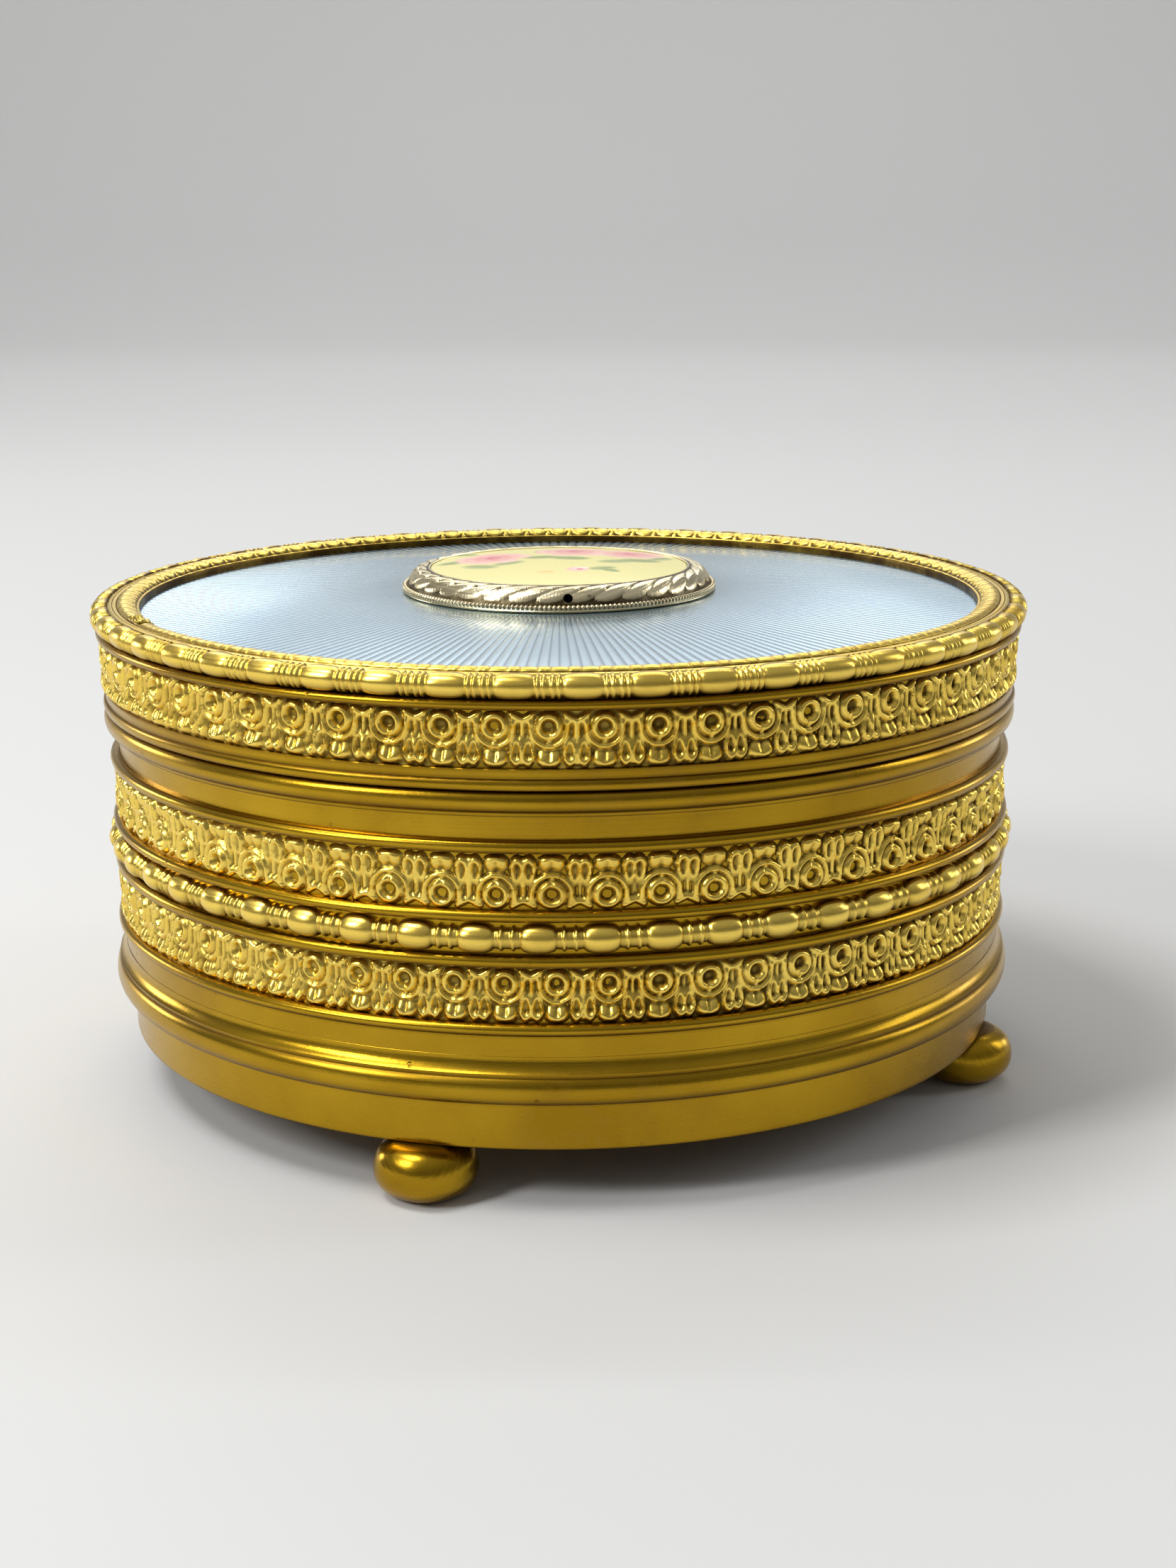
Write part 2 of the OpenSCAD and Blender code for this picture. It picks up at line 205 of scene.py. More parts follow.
# ---------------------------------------------------------------- materials
class Nodes:
    """A short way to write a material's nodes."""

    def __init__(self, name):
        self.material = bpy.data.materials.new(name)
        self.material.use_nodes = True
        self.tree = self.material.node_tree
        self.shader = self.tree.nodes["Principled BSDF"]

    def add(self, kind, values=(), **settings):
        node = self.tree.nodes.new(kind)
        for key, value in settings.items():
            setattr(node, key, value)
        for key, value in dict(values).items():
            self.put(node.inputs[key], value)
        return node

    def put(self, socket, value):
        if isinstance(value, bpy.types.NodeSocket):
            self.tree.links.new(value, socket)
        else:
            socket.default_value = value

    def set(self, **values):
        for key, value in values.items():
            self.put(self.shader.inputs[key.replace("_", " ")], value)

    def math(self, operation, a, b=0.0):
        return self.add("ShaderNodeMath", {0: a, 1: b}, operation=operation).outputs[0]

    def ramp(self, factor, start, end, low=0.0, high=1.0):
        node = self.add("ShaderNodeMapRange", {"Value": factor, "From Min": start, "From Max": end,
                                               "To Min": low, "To Max": high})
        node.clamp = True
        return node.outputs["Result"]

    def mix(self, factor, a, b):
        node = self.add("ShaderNodeMix", data_type="RGBA")
        self.put(node.inputs[0], factor)
        self.put(node.inputs[6], a)
        self.put(node.inputs[7], b)
        return node.outputs[2]

    def noise(self, where, scale, detail=3.0, rough=0.5):
        node = self.add("ShaderNodeTexNoise", {"Vector": where, "Scale": scale, "Detail": detail,
                                               "Roughness": rough})
        return node.outputs["Fac"]

    def bump(self, height, distance, strength=1.0, normal=None):
        values = {"Height": height, "Distance": distance, "Strength": strength}
        if normal is not None:
            values["Normal"] = normal
        return self.add("ShaderNodeBump", values).outputs["Normal"]

    def place(self):
        return self.add("ShaderNodeTexCoord").outputs["Object"]

    def round_place(self, place, along, across):
        """Cylinder coordinates: a noise read here streaks round the box."""
        split = self.add("ShaderNodeSeparateXYZ", {0: place})
        angle = self.math("ARCTAN2", split.outputs["Y"], split.outputs["X"])
        around = self.math("COSINE", angle)
        about = self.math("SINE", angle)
        radius = self.add("ShaderNodeVectorMath", {0: place}, operation="LENGTH").outputs["Value"]
        height = self.math("ADD", self.math("MULTIPLY", split.outputs["Z"], across),
                           self.math("MULTIPLY", radius, across))
        return self.add("ShaderNodeCombineXYZ", {"X": self.math("MULTIPLY", around, along),
                                                 "Y": self.math("MULTIPLY", about, along),
                                                 "Z": height}).outputs[0]


def gilt(name, bright, deep, recess, roughness=0.27, streak=1.0):
    """Mercury-gilt brass: warm polish, fine turning marks, small pits, dark recesses and painted
    shade on undersides.
    """
    n = Nodes(name)
    place = n.place()
    cloud = n.noise(place, 70, 4)
    blotch = n.noise(place, 260, 5, 0.65)
    grain = n.noise(place, 2600, 2)
    around = n.round_place(place, 2.0, 4200)
    lines = n.noise(around, 1.0, 3, 0.6)
    dirt_and_shade = n.add("ShaderNodeAttribute", attribute_name="dirt_and_shade").outputs["Fac"]
    spot = n.add("ShaderNodeTexVoronoi", {"Vector": place, "Scale": 330}).outputs["Distance"]
    pits = n.math("MULTIPLY", n.ramp(spot, 0.10, 0.05), n.ramp(blotch, 0.52, 0.62))
    rub = n.math("MULTIPLY", n.ramp(cloud, 0.50, 0.70), n.ramp(blotch, 0.45, 0.6))
    colour = n.mix(n.ramp(cloud, 0.32, 0.68), bright, deep)
    colour = n.mix(n.math("MULTIPLY", rub, 0.35), colour, (0.42, 0.25, 0.035, 1))
    colour = n.mix(n.math("MULTIPLY", pits, 0.7), colour, recess)
    # Where the mesh's darkening attribute is high, the colour goes to the recess colour: dirt in
    # the hollows, and painted shade on undersides and on the leaf border's inner wall.
    stain_and_shade = n.math("MULTIPLY", n.ramp(dirt_and_shade, 0.05, 0.8), n.ramp(blotch, 0.25, 0.55, 0.8, 1.0))
    colour = n.mix(stain_and_shade, colour, recess)
    rough = n.math("ADD", n.ramp(lines, 0.3, 0.7, roughness - 0.06, roughness + 0.07),
                   n.math("MULTIPLY", stain_and_shade, 0.2))
    rough = n.math("ADD", rough, n.math("MULTIPLY", rub, 0.12))
    fine = n.bump(lines, 0.00002 * streak, 0.5)
    fine = n.bump(grain, 0.00002, 0.35, fine)
    fine = n.bump(n.math("SUBTRACT", 1.0, pits), 0.00008, 0.6, fine)
    n.set(Base_Color=colour, Roughness=rough, Normal=fine,
          Metallic=n.math("SUBTRACT", 1.0, n.math("MULTIPLY", stain_and_shade, 0.06)))
    return n.material


# The plain gilt below is painted about half as bright as the relief's, though both are one gilding:
# painted shade on the plain bands, fillets and feet, which stands in for their dark reflections.
GOLD_SHADED = gilt("gilt", (0.50, 0.305, 0.018, 1), (0.365, 0.205, 0.010, 1),
            (0.11, 0.055, 0.005, 1), 0.25)
GOLD_RELIEF = gilt("gilt_relief", (0.97, 0.71, 0.14, 1), (0.90, 0.62, 0.10, 1),
                   (0.062, 0.030, 0.004, 1), 0.26, 0.3)
PALE = gilt("pale_gilt", (0.90, 0.80, 0.53, 1), (0.74, 0.63, 0.38, 1),
            (0.06, 0.042, 0.016, 1), 0.25, 0.2)
STEEL = gilt("screw_steel", (0.60, 0.60, 0.60, 1), (0.48, 0.48, 0.48, 1),
             (0.10, 0.09, 0.08, 1), 0.3)


def shaded_hole_wall():
    """The wall of the bezel's pin hole, painted near-black: painted shade inside the hole."""
    n = Nodes("hole_wall_shade")
    n.set(Base_Color=n.mix(n.noise(n.place(), 900), (0.012, 0.010, 0.008, 1),
                           (0.03, 0.024, 0.016, 1)),
          Roughness=0.8, Metallic=0.3)
    return n.material


HOLE_SHADE = shaded_hole_wall()


def guilloche_enamel(centre_slope):
    """Translucent blue enamel over an engine-turned plate.

    The rays are metal. The gloss on top is a smooth coat that follows the plate's dome.
    """
    n = Nodes("guilloche_enamel")
    place = n.place()
    cloud = n.noise(place, 45, 3)
    speck = n.noise(place, 900, 3)
    groove = n.add("ShaderNodeAttribute", attribute_name="dirt_and_shade").outputs["Fac"]
    tone = n.mix(n.ramp(cloud, 0.3, 0.7), (0.42, 0.55, 0.63, 1), (0.34, 0.465, 0.56, 1))
    tone = n.mix(n.math("MULTIPLY", groove, 0.9), tone, (0.07, 0.13, 0.20, 1))
    up = n.add("ShaderNodeVectorMath", {0: place, 1: (centre_slope, centre_slope, 0)},
               operation="MULTIPLY")
    up = n.add("ShaderNodeVectorMath", {0: up.outputs[0], 1: (0, 0, 1)}, operation="ADD")
    up = n.add("ShaderNodeVectorMath", {0: up.outputs[0]}, operation="NORMALIZE")
    flat = n.add("ShaderNodeVectorTransform", {0: up.outputs[0]}, vector_type="NORMAL",
                 convert_from="OBJECT", convert_to="WORLD")
    ripple = n.bump(n.noise(place, 130, 2), 0.0001, 0.08, flat.outputs[0])
    n.set(Base_Color=tone, Metallic=0.85, Roughness=n.ramp(speck, 0.3, 0.7, 0.23, 0.27),
          Coat_Weight=0.28, Coat_Roughness=0.07, Coat_IOR=1.45, Coat_Normal=ripple)
    return n.material


def painted_enamel():
    """Cream enamel that shows the colours painted on the mesh, with a soft gloss."""
    n = Nodes("painted_enamel")
    place = n.place()
    paint = n.add("ShaderNodeAttribute", attribute_name="paint").outputs["Color"]
    speck = n.noise(place, 1800, 3)
    colour = n.mix(n.ramp(speck, 0.45, 0.75, 0.0, 0.10), paint, (0.75, 0.62, 0.35, 1))
    n.set(Base_Color=colour, Roughness=n.ramp(speck, 0.3, 0.7, 0.30, 0.42), Specular_IOR_Level=0.3,
          Coat_Weight=0.15, Coat_Roughness=0.1, Normal=n.bump(n.noise(place, 300, 2), 0.00005, 0.3))
    return n.material


def velvet(name, pile, shade):
    """Short cut pile: dark from above, with a soft sheen at the edges and brushed patches."""
    n = Nodes(name)
    place = n.place()
    nap = n.noise(place, 60, 3)
    pile_grain = n.noise(place, 5200, 2)
    colour = n.mix(n.ramp(nap, 0.35, 0.65), pile, shade)
    colour = n.mix(n.ramp(pile_grain, 0.35, 0.75, 0.0, 0.5), colour, (0.004, 0.006, 0.016, 1))
    n.set(Base_Color=colour, Roughness=0.95, Specular_IOR_Level=0.15, Sheen_Weight=0.8,
          Sheen_Roughness=0.35, Sheen_Tint=(0.35, 0.45, 0.85, 1),
          Normal=n.bump(pile_grain, 0.0002, 0.8, n.bump(nap, 0.0006, 0.5)))
    return n.material


VELVET = velvet("blue_velvet", (0.028, 0.045, 0.16, 1), (0.016, 0.026, 0.10, 1))


def card():
    """Brown packing card with visible fibres."""
    n = Nodes("packing_card")
    place = n.place()
    fibre = n.noise(place, 1500, 4)
    n.set(Base_Color=n.mix(fibre, (0.42, 0.32, 0.20, 1), (0.52, 0.42, 0.28, 1)), Roughness=0.9,
          Normal=n.bump(fibre, 0.0001, 0.5))
    return n.material


# ---------------------------------------------------------------- relief strips
def ridge(distance, width):
    """Rounded ridge, 1 on its line and 0 from width away."""
    return np.clip(1 - (distance / width) ** 2, 0, 1) ** 0.75


def blob(x, y, rx, ry):
    """A rounded lump, 1 at its centre."""
    return np.sqrt(np.clip(1 - (x / rx) ** 2 - (y / ry) ** 2, 0, 1))


def stroke(x, y, x1, y1, x2, y2, width):
    """A rounded ridge along a straight line."""
    dx, dy = x2 - x1, y2 - y1
    t = np.clip(((x - x1) * dx + (y - y1) * dy) / (dx * dx + dy * dy), 0, 1)
    return ridge(np.hypot(x - x1 - t * dx, y - y1 - t * dy), width)


def bow(x, y, rx, ry, width, half_angle):
    """A ridge along the lower part of an oval about 0, 0, out to half_angle on both sides."""
    q = np.hypot(x / rx, y / ry)
    angle = np.abs(np.degrees(np.arctan2(x, y)))
    taper = np.clip((half_angle - angle) / 25, 0, 1)
    return ridge((q - 1) * (rx + ry) / 2, width) * np.sqrt(taper)


def eye_and_bud(x, y, half):
    """Height of one unit of the frieze, 0 to 1.

    x runs from the eye's centre out to half, and y runs down from the strip's top.
    """
    eye_y, scale = 1.50, half / 2.52
    ex, ey = x / scale, y - eye_y
    d = np.hypot(ex, ey)
    gap = np.clip((np.abs(ex) - 0.05) / 0.12, 0, 1) + (ey < 0.25)
    ring = ridge(d - 0.96, 0.44) * np.clip(gap, 0.2, 1)
    stem = stroke(ex, ey, 0.08, 0.60, 0.02, 1.6, 0.18) * 0.6
    cup = bow(ex, ey, 1.72, 1.82, 0.30, 125) * 0.85
    lower = 0.45 + 0.55 * np.clip((y - 3.7) / 1.1, 0, 1)
    bud = np.maximum(blob(np.abs(ex) - 0.50, y - 4.42, 0.66, 0.82),
                     blob(ex, y - 4.72, 1.22, 0.50))
    bud = bud * lower * (1 - 0.40 * ridge(np.abs(ex), 0.16) * (y < 4.8))
    px = (half - np.abs(x)) / scale           # distance from the pillar's middle
    spine = stroke(px, y, 0, 1.1, 0, 4.9, 0.22) * 0.60
    lobe = np.hypot((px - 0.56) / (0.50 + 0.16 * np.clip(y - 3, 0, 1)), (y - 3.70) / 1.42)
    lobe = np.maximum(ridge(lobe - 0.76, 0.34) * 0.95, np.clip(1 - lobe, 0, 1) ** 0.5 * 0.25)
    lobe = lobe * np.clip((y - 2.2) / 1.2, 0.35, 1)
    branch = stroke(px, y, 0.10, 0.85, 1.05, 0.35, 0.24) * 0.7
    knot = blob(px - 0.46, y - 0.95, 0.36, 0.34) * 0.6
    return np.maximum.reduce([ring, stem, cup, bud, spine, lobe, branch, knot])


def soften(h, passes=1):
    """Rounds the relief's creases, as a worn die does."""
    for _ in range(passes):
        h = (np.roll(h, 1, 0) + 2 * h + np.roll(h, -1, 0)) / 4
        up = np.concatenate([h[:, :1], h[:, :-1]], axis=1)
        down = np.concatenate([h[:, 1:], h[:, -1:]], axis=1)
        h = (up + 2 * h + down) / 4
    return h


def grime(h, size, floor_dirt=0.75):
    """Dark in the hollows and beside the ridges, clean on the tops."""
    near = soften(h, size)
    return np.clip((near - h) * 4.2 + np.clip(1 - h / 0.40, 0, 1) * floor_dirt, 0, 1)


def frieze_strip(name, node, body, units, first, seed, upside_down=False, columns=36, rows=38):
    """A die-rolled strip of eye-and-bud units, with an eye at the angle first from the front."""
    rng = np.random.default_rng(seed)
    z0, z1, face = low(node), high(node), outer(node)
    height, floor = z1 - z0, face - 0.85
    n = units * columns
    u = (np.arange(n) + 0.5) / columns
    unit = np.floor(u + 0.5).astype(int) % units
    half = math.pi * face / units
    x = (u - np.round(u)) * 2 * half
    shift = rng.normal(0, 0.035, (units, 2))
    size = rng.normal(1, 0.035, units)
    worn = 0.92 + 0.08 * smooth_noise(rng, units, (2, 5, 9))
    y = np.linspace(0, height, rows)
    yy = y[None, :] if not upside_down else (height - y)[None, :]
    yy = (height - yy) * MOTIF_H / height
    h = eye_and_bud((x[:, None] + shift[unit, 0][:, None]) * size[unit][:, None],
                    yy + shift[unit, 1][:, None], half)
    h = soften(h, 1) * worn[unit][:, None]
    rough = rng.normal(0, 1, h.shape)
    h = h + 0.05 * soften(rough, 3)
    r = floor + 0.80 * np.clip(h, 0, 1)
    angle = FRONT + first + u / units * TAU
    front = polar(angle[:, None], r, z0 + y[None, :])
    back = polar(angle[:, None], floor - 0.12, np.array([[z1, z0]]))
    older = np.clip(0.72 + 0.30 * np.sin(u / units * TAU + first)
                    + 0.12 * smooth_noise(rng, n, (3, 7, 11)), 0.35, 1)
    dirt_and_shade = np.concatenate([grime(h, 4) * older[:, None], np.ones((n, 2))], axis=1)
    mesh = loop_mesh(name, np.concatenate([front, back], axis=1), dirt_and_shade, 70)
    return add_object(name, mesh, GOLD_RELIEF, body, [node])


def bead_strip(name, node, body, units, first, seed, shape, centre, columns, rows=17):
    """A strip of beads: shape gives the section's radius at each place along a unit.

    centre is the radius, about the box's axis, of the line that the beads are strung on.
    """
    rng = np.random.default_rng(seed)
    z0, z1, face = low(node), high(node), outer(node)
    middle = (z0 + z1) / 2
    n = units * columns
    u = (np.arange(n) + 0.5) / columns
    s = u - np.floor(u + 0.5)
    radius = shape(s) * (1 + 0.02 * smooth_noise(rng, n, (7, 19, 31)))
    phi = np.radians(np.linspace(-100, 100, rows))[None, :]
    r = np.minimum(centre + radius[:, None] * np.cos(phi), face)
    z = np.clip(middle + radius[:, None] * np.sin(phi), z0, z1)
    angle = FRONT + first + u / units * TAU
    front = polar(angle[:, None], r, z)
    back = polar(angle[:, None], centre - 0.64, np.stack([z[:, -1], z[:, 0]], axis=1))
    top = radius.max()
    low_spot = np.clip((top - radius) / (top * 0.4), 0, 1)[:, None] ** 2 * 0.35
    # The beads' lower halves are painted darker: painted shade.
    under = 0.60 * np.clip((-0.10 - phi) / 1.0, 0, 1)
    dirt_and_shade = np.clip(low_spot + under, 0, 1)
    dirt_and_shade = np.concatenate([dirt_and_shade, np.ones((n, 2))], axis=1)
    mesh = loop_mesh(name, np.concatenate([front, back], axis=1), dirt_and_shade, 70)
    return add_object(name, mesh, GOLD_RELIEF, body, [node])


def barrel_and_reels(s):
    """Long barrels with four thin reels between them. s is -0.5 to 0.5 along the unit."""
    a = np.abs(s)
    barrel = 0.86 + 0.30 * np.clip(1 - (a / 0.28) ** 2.4, 0, 1) ** 0.5
    neck = 0.94 - 0.08 * np.clip(1 - (a - 0.28) / 0.03, 0, 1) + 0.18 * ridge(a - 0.345, 0.030)
    neck = neck + 0.18 * ridge(a - 0.435, 0.034)
    return np.where(a < 0.28, barrel, neck)


def egg_and_reels(s):
    """Round beads with two thin reels between them."""
    a = np.abs(s)
    egg = 0.90 + 0.54 * np.clip(1 - (a / 0.285) ** 2.3, 0, 1) ** 0.5
    neck = 1.00 - 0.10 * np.clip(1 - (a - 0.285) / 0.03, 0, 1) + 0.22 * ridge(a - 0.405, 0.034)
    return np.where(a < 0.285, egg, neck)


# ---------------------------------------------------------------- the box's pieces
def build_body():
    """The base moulding, the shell, its fillets, the two friezes and the belt."""
    base = low("base_moulding")
    band_r = 47.15
    shell_r = outer("upper_frieze") - STRIP_T
    waist_r = shell_r + 0.25
    ring_top = low("body_shell")
    torus_low = ring_top - 0.1
    torus_top = high("base_moulding")
    torus_r = outer("base_moulding")
    cove_top = torus_top + 1.2
    turned("base_moulding_gilt",
           [(BASE_BORE_R, base + 0.1), (BASE_BORE_R + 0.1, base), (band_r - 0.25, base),
            (band_r - 0.06, base + 0.06), (band_r, base + 0.25), (band_r, ring_top - 0.45),
            (band_r + 0.08, ring_top - 0.2)]
           + arc(torus_r - 0.9, torus_low + 1.3, 0.9, 1.3, -90, 0, 14)
           + arc(torus_r - 0.75, torus_low + 1.3, 0.75, 1.45, 0, 72, 12)[1:]
           + arc(torus_r + 0.42, cove_top, 1.53, cove_top - torus_top + 0.55, 238, 180, 14)
           + [(waist_r + 0.01, cove_top + 0.03), (waist_r + 0.01, ring_top),
              (BASE_BORE_R, ring_top)],
           GOLD_SHADED, "box", ["base_moulding"], 11)
    step_z = low("lower_fillet")
    turned("body_shell_gilt",
           [(waist_r - 0.1, ring_top), (waist_r, ring_top + 0.1), (waist_r, step_z - 0.1),
            (waist_r - 0.1, step_z), (shell_r, step_z), (shell_r, high("body_shell")),
            (BORE_R, high("body_shell")), (BORE_R, ring_top)],
           GOLD_SHADED, "box", ["body_shell"], 12)
    for k, node in enumerate(["lower_fillet", "belt_fillet_lower", "belt_fillet_upper",
                              "neck_fillet"]):
        z, h = low(node), high(node) - low(node)
        turned(node + "_gilt",
               [(shell_r + 0.02, z)] + bulge(shell_r + 0.3, outer(node) - shell_r - 0.3, z, h, 16)
               + [(shell_r + 0.02, z + h)], GOLD_SHADED, "box", [node], 13 + k, wobble=0.02)
    frieze_strip("lower_frieze_gilt", "lower_frieze", "box", 63, math.radians(-0.65), 21)
    frieze_strip("upper_frieze_gilt", "upper_frieze", "box", 59, math.radians(-1.14), 22, True)
    bead_strip("belt_gilt", "bead_and_reel_belt", "box", 52, math.radians(-2.56), 23, egg_and_reels,
               outer("bead_and_reel_belt") - 1.45, 52)


def build_rim(window):
    """The moulding under the seam, cut away for the hinge."""
    z0, z1 = low("rim_moulding"), high("rim_moulding")
    shell_r = outer("upper_frieze") - STRIP_T
    face = outer("rim_moulding")
    cove = [(shell_r + 0.02, z0), (shell_r + 0.3, z0), (shell_r + 0.36, z0 + 0.15)]
    cove += arc(shell_r + 0.80, z0 + 0.25, 0.42, 0.30, 180, 108, 6)
    torus = bulge(shell_r + 0.70, face - shell_r - 0.70, z0 + 0.52, z1 - z0 - 0.52, 22)
    ring = turned("rim_moulding_gilt",
                  cove + torus + [(BORE_R + 0.1, z1), (BORE_R, z1 - 0.1),
                                  (BORE_R, high("body_shell")),
                                  (shell_r + 0.02, high("body_shell"))],
                  GOLD_SHADED, "box", ["rim_moulding"], 31)
    window(ring, z0 - 1, z1 + 1, shell_r)


def build_lid(window):
    """The lid's shell, cut away for the hinge, with its fillet, frieze and beads."""
    z0, frieze_z = low("lid_shell"), low("lid_frieze")
    top, beads_z = high("lid_shell"), low("lid_rim_beads")
    plate_z = high("lid_back_plate")
    wall_r, beads_r, ledge_r = 48.5, 48.18, 44
    band_r = outer("lid_shell") - 0.25
    section = [(46.95, z0 + 0.05), (47.0, z0)] + bulge(band_r, 0.25, z0, 1.0, 12)
    section += [(band_r - 0.05, z0 + 1.05), (band_r, z0 + 1.15), (band_r, frieze_z - 0.08),
                (band_r - 0.08, frieze_z), (wall_r, frieze_z), (wall_r, beads_z),
                (beads_r, beads_z), (beads_r, top), (46, top), (46, plate_z - 0.8),
                (ledge_r, plate_z - 0.8), (ledge_r, plate_z - 1.6), (46.9, plate_z - 2.4)]
    shell = turned("lid_shell_gilt", section, GOLD_SHADED, "lid", ["lid_shell"], 32)
    window(shell, z0 - 1, z0 + 1.32, 47.0)
    z, h = low("lid_fillet"), high("lid_fillet") - low("lid_fillet")
    turned("lid_fillet_gilt", [(wall_r + 0.02, z)]
           + bulge(wall_r + 0.4, outer("lid_fillet") - wall_r - 0.4, z, h, 14)
           + [(wall_r + 0.02, z + h)], GOLD_SHADED, "lid", ["lid_fillet"], 33, wobble=0.02)
    frieze_strip("lid_frieze_gilt", "lid_frieze", "lid", 62, math.radians(-1.17), 24)
    bead_strip("lid_rim_beads_gilt", "lid_rim_beads", "lid", 50, math.radians(-4.81), 25,
               barrel_and_reels, outer("lid_rim_beads") - 1.16, 60)


def leaf_border(seed=26, units=106, columns=20):
    """The ring that holds the enamel: a flat fillet, then a rounded band of tongues and darts.

    The strip's ends meet at the joint, with a slit, a crumbly end and a plain stretch.
    """
    rng = np.random.default_rng(seed)
    node = "leaf_border_ring"
    z0, z1 = low(node), high(node)
    inner, edge, joint = GLASS_R, outer(node), math.radians(-64)
    band_out, band_in, crest = 47.12, 45.08, z1 - 0.16
    n = units * columns
    u = (np.arange(n) + 0.5) / columns
    s = u - np.round(u)
    outline = [(edge, z0), (edge, z0 + 1.02), (edge - 0.10, z0 + 1.12), (edge - 0.45, z0 + 1.16),
               (47.70, z0 + 1.16), (47.66, z0 + 1.09), (47.60, z0 + 1.09), (47.56, z0 + 1.15),
               (47.24, z0 + 1.13), (47.18, z0 + 1.02), (band_out, z0 + 1.02)]
    first = len(outline)
    steps = np.linspace(0, 1, 26)
    outline += [(band_out + (band_in - band_out) * t,
                 z0 + 1.05 + (crest - z0 - 1.05) * math.sin(math.pi * t ** 0.85) ** 0.8 - 0.22 * t)
                for t in steps]
    last = len(outline)
    outline += [(band_in - 0.04, z0 + 0.80), (inner + 0.06, z0 + 0.80), (inner, z0 + 0.72),
                (inner, z0 + 0.4), (inner, z0)]
    p = np.array(outline)
    t = np.zeros(len(p))
    t[first:last] = steps
    on_band = np.zeros(len(p))
    on_band[first:last] = 1
    t, on_band = t[None, :], on_band[None, :]
    a = np.abs(s)[:, None]
    tip = np.clip((0.93 - t) / 0.55, 0, 1)
    width = 0.40 * np.sqrt(np.clip(1 - (1 - tip) ** 2.2, 0, 1)) + 0.01
    rim = ridge(np.minimum(np.abs(a - width), 0.5), 0.10) * (t < 0.97)
    tongue = np.clip(1 - (a / (width - 0.07).clip(0.02)) ** 2, 0, 1) ** 0.6 * 0.75 * (t < 0.9)
    dart = ridge(0.5 - a, 0.06) * (t > 0.15)
    dart = dart + ridge(np.hypot((0.5 - a) / 0.10, (t - 0.9) / 0.09), 1)
    h = np.maximum(np.maximum(rim, tongue), np.clip(dart, 0, 1) * 0.8) * on_band
    h = soften(h)
    angle = FRONT + u / units * TAU
    away = np.degrees((angle - FRONT - joint) % TAU)
    away = np.where(away > 180, away - 360, away)
    lumps = soften(rng.normal(0, 1, (n, len(p))), 2)
    lumps = lumps / lumps.std()
    crumb = np.exp(-((away + 2.4) / 1.9) ** 2)[:, None] * on_band
    slit = np.exp(-((away - 0.2) / 0.62) ** 4)[:, None] * on_band * (t > 0.08)
    plain = np.clip((away + 0.2) / 0.6, 0, 1) * np.clip((9 - away) / 5, 0, 1)
    h = h * (1 - 0.75 * plain[:, None])
    lift = 0.17 * h * (1 - crumb) + crumb * (0.16 + 0.12 * lumps) - 0.85 * slit
    z = np.minimum(p[None, :, 1] + lift, z1 + 0.15)
    # The inner wall down to the enamel is painted fully dark: painted shade.
    wall = (p[None, :, 1] < z0 + 0.78) & (p[None, :, 0] < 45)
    groove = (np.abs(p[None, :, 0] - 47.63) < 0.05) | (np.abs(p[None, :, 0] - 47.16) < 0.06)
    dirt_and_shade = np.clip(grime(h, 3, 0.75) * on_band * (1 - 0.7 * plain[:, None]) + slit * 1.5
                   + crumb * (lumps < -0.4) * 0.8 + wall + groove * 0.8, 0, 1)
    mesh = loop_mesh("leaf_border_gilt", polar(angle[:, None], p[None, :, 0], z), dirt_and_shade, 50)
    return add_object("leaf_border_gilt", mesh, GOLD_RELIEF, "lid", [node])


def enamel_disc(rays=240, columns=8):
    """The domed plate, engine-turned with rays."""
    node = "enamel_plate"
    top, bottom = high(node), low(node)
    rim_r = outer(node)
    edge_z = low("leaf_border_ring")
    rise = top - edge_z
    fall = rise / (GLASS_R ** 2 - SEAT_R ** 2)
    radii = np.linspace(GLASS_R, SEAT_R, 26)
    face = [(r, top - fall * (r ** 2 - SEAT_R ** 2)) for r in radii]
    section = [(STUD_HOLE_R, top - 1.1), (SEAT_R, top - 1.1), (GLASS_R, bottom), (rim_r, bottom),
               (rim_r, edge_z)]
    on_face = slice(len(section), len(section) + len(face))
    section += face + [(16.5, top), (STUD_HOLE_R, top)]
    p = np.array(section)
    n = rays * columns
    s = (np.arange(n) % columns) / columns
    turned_part = np.zeros(len(p))
    turned_part[on_face] = np.clip((p[on_face, 0] - 16) / (GLASS_R - 16), 0, 1)
    arch = np.sin(np.pi * s) - 0.5
    z = p[None, :, 1] + 0.115 * arch[:, None] * turned_part[None, :] - 0.03
    angle = FRONT + np.arange(n) / n * TAU
    groove = np.exp(-(np.minimum(s, 1 - s) / 0.10) ** 2)[:, None] * (turned_part > 0)[None, :]
    mesh = loop_mesh("enamel_glass", polar(angle[:, None], p[None, :, 0], z), groove, 60)
    material = guilloche_enamel(2 * fall / MM)
    return add_object("enamel_glass", mesh, material, "lid", [node])


# ---------------------------------------------------------------- medallion
def bezel_height(angle, t, leaves):
    """Laurel leaves that overlap round the bezel. t is 0 at the cord and 1 at the plaque."""
    u = angle / TAU * leaves
    h = np.zeros(np.broadcast(u, t).shape)
    rows = [(0.36, 0.46, 0.27, 1.0), (0.80, 0.40, 0.20, 0.8)]
    for row, (start, lean, width, size) in enumerate(rows):
        v = u + 0.5 * row
        for k in (-1, 0, 1):
            x = v - np.round(v) + k
            along = np.clip((x + 0.78) / 1.56, 0, 1)
            middle = start - 0.10 * row + lean * (along - 0.5)
            half = width * np.sin(np.pi * along) ** 0.7 + 1e-3
            d = np.abs(t - middle)
            leaf = np.sqrt(np.clip(1 - (d / half) ** 2, 0, 1)) * (0.55 + 0.45 * along)
            leaf = leaf * (1 - 0.25 * ridge(d, 0.05)) * ((x > -0.78) & (x < 0.78))
            h = np.maximum(h, leaf * size)
    return h


